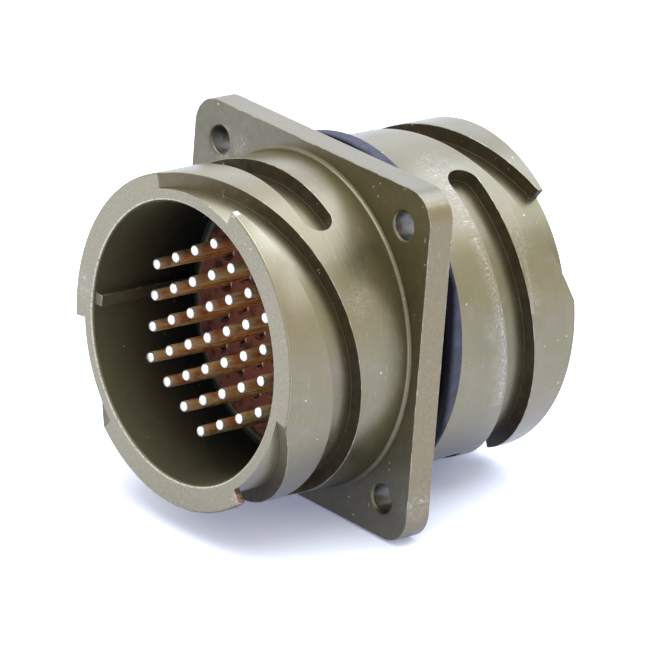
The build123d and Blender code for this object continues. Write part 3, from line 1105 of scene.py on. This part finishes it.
# %% [markdown]
# Round faces are drawn from flat facets. Each gets the exact normals of its cylinder or
# cone, so that a highlight runs over it without a ripple. First its axis has to be found:
# the main axis, or that of a mounting hole or of a rounded corner of the flange.

# %% Axes of the turned faces
CORNER_PLACE = 20.9 * MM
MAIN_AXIS = Vector((0, 0, 0))
SMALL_AXES = [
    Vector((x, 0, z))
    for away in (HOLE_PLACE, CORNER_PLACE)
    for x in (-away, away)
    for z in (-away, away)
]
SMALL_REACH = 4.7 * MM
MAIN_SLACK = math.radians(4.0)
SMALL_SLACK = math.radians(9.0)


def spoke(point, axis):
    return Vector((point.x - axis.x, 0, point.z - axis.z))


def turned_axis(face, axes, reach, slack):
    flat = Vector((face.normal.x, 0, face.normal.z))
    if flat.length < 0.05:
        return None
    flat.normalize()
    for axis in axes:
        spokes = [spoke(v.co, axis) for v in face.verts]
        if reach and max(s.length for s in spokes) > reach:
            continue
        if min(s.length for s in spokes) < 1e-6:
            continue
        if min(abs(flat.dot(s.normalized())) for s in spokes) > math.cos(slack):
            return axis
    return None


print("small axes:", len(SMALL_AXES))

# %% [markdown]
# Every face is then either plain or blended. Bevels and small chamfers are blended, which
# means that they take their normals from what lies beside them, and all the others are
# plain and know their axis, if they have one.

# %% Plain and blended faces
def sort_faces(solid, small_axes):
    layers = [solid.faces.layers.float.get(name) for name in ("edge", "crease")]
    layers = [layer for layer in layers if layer]
    blended = {f.index for f in solid.faces if any(f[layer] > 0.5 for layer in layers)}
    axes = {}
    for face in solid.faces:
        if face.index in blended:
            continue
        axis = turned_axis(face, [MAIN_AXIS], None, MAIN_SLACK)
        if axis is None and small_axes:
            axis = turned_axis(face, small_axes, SMALL_REACH, SMALL_SLACK)
        axes[face.index] = axis
        if axis is not None and 0.2 < abs(face.normal.y) < 0.97:
            blended.add(face.index)
    return axes, blended


print("a chamfer leans by", round(math.degrees(math.asin(0.2))), "degrees or more")

# %% [markdown]
# Then the normals are set, corner by corner. A turned face takes them from its axis, a
# flat face from itself and its even neighbours, and a bevel from the faces that it joins,
# so that it blends one into the other.

# %% Exact normals for turned faces
def mean_direction(vectors, spare):
    total = sum(vectors, Vector())
    return total.normalized() if total.length else spare.copy()


def turned_normal(point, face_normal, axis):
    out = spoke(point, axis).normalized()
    if out.dot(face_normal) < 0:
        out.negate()
    lean = face_normal.y
    return (out * math.sqrt(max(0.0, 1 - lean * lean)) + Vector((0, lean, 0))).normalized()


def exact_normals(mesh_data, small_axes=()):
    solid = bmesh.new()
    solid.from_mesh(mesh_data)
    axes, blended = sort_faces(solid, small_axes)
    normals = [None] * len(mesh_data.loops)
    plain = [face for face in solid.faces if face.index not in blended]
    for face in plain:
        axis = axes[face.index]
        for loop in face.loops:
            if axis is not None:
                normals[loop.index] = turned_normal(loop.vert.co, face.normal, axis)
                continue
            even = [f for f in loop.vert.link_faces if f.normal.dot(face.normal) > 0.9]
            near = [f.normal * f.calc_area() for f in even if f.index not in blended]
            normals[loop.index] = mean_direction(near, face.normal)
    for face in solid.faces:
        if face.index not in blended:
            continue
        for loop in face.loops:
            others = [o for o in loop.vert.link_loops if o.face.index not in blended]
            near = [normals[other.index] for other in others]
            normals[loop.index] = mean_direction(near, face.normal)
    solid.free()
    for polygon in mesh_data.polygons:
        polygon.use_smooth = True
    mesh_data.normals_split_custom_set(normals)


print("a bevel blends the normals of its neighbours")

# %% [markdown]
# A finished mesh becomes a piece: an object at the origin that takes the place of its CAD
# node, which is hidden, rides with the connector's one body, and takes the finish it is given.

# %% Make a piece
def finished_piece(name, solid, node_name, material, small_axes=()):
    data = bpy.data.meshes.new(name)
    solid.to_mesh(data)
    solid.free()
    data.materials.append(material)
    exact_normals(data, small_axes)
    piece = bpy.data.objects.new(name, data)
    bpy.context.scene.collection.objects.link(piece)
    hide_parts(node_name)
    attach(piece, "root")
    return piece


print("pieces ride on: root")

# %% [markdown]
# The shell is one piece of metal from rim to rim. Its shape is complete in the CAD model,
# so it only needs its edges broken by a tenth of a millimetre.

# %% Shell
SHELL_BEVEL = 0.10 * MM

shell_solid = bevelled_copy("shell", SHELL_BEVEL)
shell_piece = finished_piece(
    "shell_body", shell_solid, "shell", olive, SMALL_AXES
)
print("shell:", len(shell_piece.data.polygons), "faces")

# %% [markdown]
# In the resin insert each contact stands in a small countersink, which looks like a dark
# dot with its painted shade. Only the mouths of the 37 holes are bevelled for that, and
# they are found by their distance from the nearest contact.

# %% Countersinks in the insert
HOLE_MOUTH_RADIUS = 0.95 * MM
COUNTERSINK = 0.78 * MM

pin_places = []
for number in range(1, 38):
    low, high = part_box(f"contact_{number:02d}")
    pin_places.append(Vector(((low.x + high.x) / 2, 0, (low.z + high.z) / 2)))


def hole_mouth(edge):
    if not any_sharp_edge(edge):
        return False
    ends = [vert.co for vert in edge.verts]
    reaches = (max(spoke(end, place).length for end in ends) for place in pin_places)
    return any(reach < HOLE_MOUTH_RADIUS for reach in reaches)


insert_solid = bevelled_copy("insulator", COUNTERSINK, hole_mouth, segments=2)
print("contacts found:", len(pin_places))

# %% [markdown]
# A glint sits on the rim of each countersink, on the side that looks to the right and a
# little up. It is only a mark on the few outer faces there, which the resin then shows in
# a light colour.

# %% Glints on the countersinks
GLINT_SIDE = Vector((0.97, 0, 0.22)).normalized()
GLINT_NEAR = 1.10 * MM
GLINT_SPREAD = 0.84

sunk_layer = insert_solid.faces.layers.float["edge"]
glint_layer = insert_solid.faces.layers.float.new("glint")
glints = 0
for face in insert_solid.faces:
    if face[sunk_layer] < 0.5:
        continue
    middle = face.calc_center_median()
    away = min((spoke(middle, place) for place in pin_places), key=lambda vector: vector.length)
    if away.length > GLINT_NEAR and away.normalized().dot(GLINT_SIDE) > GLINT_SPREAD:
        face[glint_layer] = 1.0
        glints += 1
insert_piece = finished_piece("contact_insert", insert_solid, "insulator", resin)
print("insert:", len(insert_piece.data.polygons), "faces, of which", glints, "are glints")

# %% [markdown]
# A split ring of spring steel snaps into a slot in front of the insert, and another one
# behind the shell's web. Their edges are broken a little less than the shell's. The flat
# seal keeps its CAD shape, which is right as it is, and only gets its rubber.

# %% Snap rings and seal
RING_BEVEL = 0.08 * MM

for side in ("front", "rear"):
    ring_node = f"{side}_retaining_ring"
    ring_solid = bevelled_copy(ring_node, RING_BEVEL)
    finished_piece(f"{side}_snap_ring", ring_solid, ring_node, steel)
seal_materials = nodes["insert_seal"].data.materials
seal_materials.clear()
seal_materials.append(sealing)
print("seal material:", seal_materials[0].name)

# %% [markdown]
# The gasket is a rubber ring with rounded corners, pressed against the flange, where it
# tapers to a narrower foot. Its section is six points, spun round the axis, and the
# edges are then rounded.

# %% Gasket
GASKET_INSIDE = 23.6 * MM
GASKET_OUTSIDE = 25.0 * MM
GASKET_FOOT = 24.2 * MM
GASKET_TAPER = 1.3 * MM
GASKET_DEPTH = 4.1 * MM
GASKET_ROUND = 0.25 * MM
GASKET_STEPS = 144

gasket = bmesh.new()
section = [(GASKET_INSIDE, 0.0), (GASKET_FOOT, 0.0), (GASKET_FOOT, 0.5 * GASKET_TAPER)]
section += [(GASKET_OUTSIDE, GASKET_TAPER), (GASKET_OUTSIDE, GASKET_DEPTH)]
section += [(GASKET_INSIDE, GASKET_DEPTH)]
points = [gasket.verts.new((radius, depth, 0)) for radius, depth in section]
lines = [gasket.edges.new((points[n], points[(n + 1) % len(points)])) for n in range(len(points))]
bmesh.ops.spin(
    gasket,
    geom=points + lines,
    cent=(0, 0, 0),
    axis=(0, 1, 0),
    angle=math.tau,
    steps=GASKET_STEPS,
    use_merge=True,
)
bmesh.ops.remove_doubles(gasket, verts=gasket.verts, dist=0.001 * MM)
bmesh.ops.recalc_face_normals(gasket, faces=gasket.faces)
rims = [e for e in gasket.edges if e.calc_face_angle(0) > 0.5]
bmesh.ops.bevel(
    gasket,
    geom=rims,
    offset=GASKET_ROUND,
    offset_type="OFFSET",
    affect="EDGES",
    segments=4,
    profile=0.5,
    material=-1,
)
gasket_piece = finished_piece("flange_gasket", gasket, "panel_gasket", slate)
print("gasket:", len(gasket_piece.data.polygons), "faces")

# %% [markdown]
# Each contact is one straight pin, turned with a rounded tip at both ends.
# A half outline is spun round its own axis, and the edge of each tip is then rounded.

# %% Shape of a contact
PIN_RADIUS = 0.794 * MM
PIN_TIPS = (-20.6 * MM, 21.6 * MM)
PIN_ROUND = 0.32 * MM
PIN_STEPS = 28


def pin_solid(centre):
    pin = bmesh.new()
    front, rear = PIN_TIPS
    outline = [(0.0, front), (PIN_RADIUS, front), (PIN_RADIUS, rear), (0.0, rear)]
    ends = [pin.verts.new((radius, depth, 0)) for radius, depth in outline]
    runs = [pin.edges.new((ends[n], ends[n + 1])) for n in range(3)]
    bmesh.ops.spin(
        pin,
        geom=ends + runs,
        cent=(0, 0, 0),
        axis=(0, 1, 0),
        angle=math.tau,
        steps=PIN_STEPS,
        use_merge=True,
    )
    bmesh.ops.remove_doubles(pin, verts=pin.verts, dist=0.001 * MM)
    bmesh.ops.recalc_face_normals(pin, faces=pin.faces)
    tip_edges = [e for e in pin.edges if len(e.link_faces) == 2 and e.calc_face_angle() > 1.0]
    bmesh.ops.bevel(
        pin,
        geom=tip_edges,
        offset=PIN_ROUND,
        offset_type="OFFSET",
        affect="EDGES",
        segments=4,
        profile=0.5,
        material=-1,
    )
    bmesh.ops.translate(pin, verts=pin.verts, vec=centre)
    return pin


print("a contact is", round((PIN_TIPS[1] - PIN_TIPS[0]) / MM, 1), "mm long")

# %% [markdown]
# There are 37 contacts, and each is a piece by itself, as it is on the real part. They go
# where the countersinks went, and smooth shading is enough for shapes this small.

# %% Contacts
pins = []
for number, centre in enumerate(pin_places, 1):
    node_name = f"contact_{number:02d}"
    pin_data = bpy.data.meshes.new(f"pin_{number:02d}")
    solid = pin_solid(centre)
    solid.to_mesh(pin_data)
    solid.free()
    for polygon in pin_data.polygons:
        polygon.use_smooth = True
    pin_data.materials.append(gold)
    pin_piece = bpy.data.objects.new(f"pin_{number:02d}", pin_data)
    bpy.context.scene.collection.objects.link(pin_piece)
    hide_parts(node_name)
    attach(pin_piece, "root")
    pins.append(pin_piece)
print("contacts:", len(pins), "with", len(pins[0].data.polygons), "faces each")
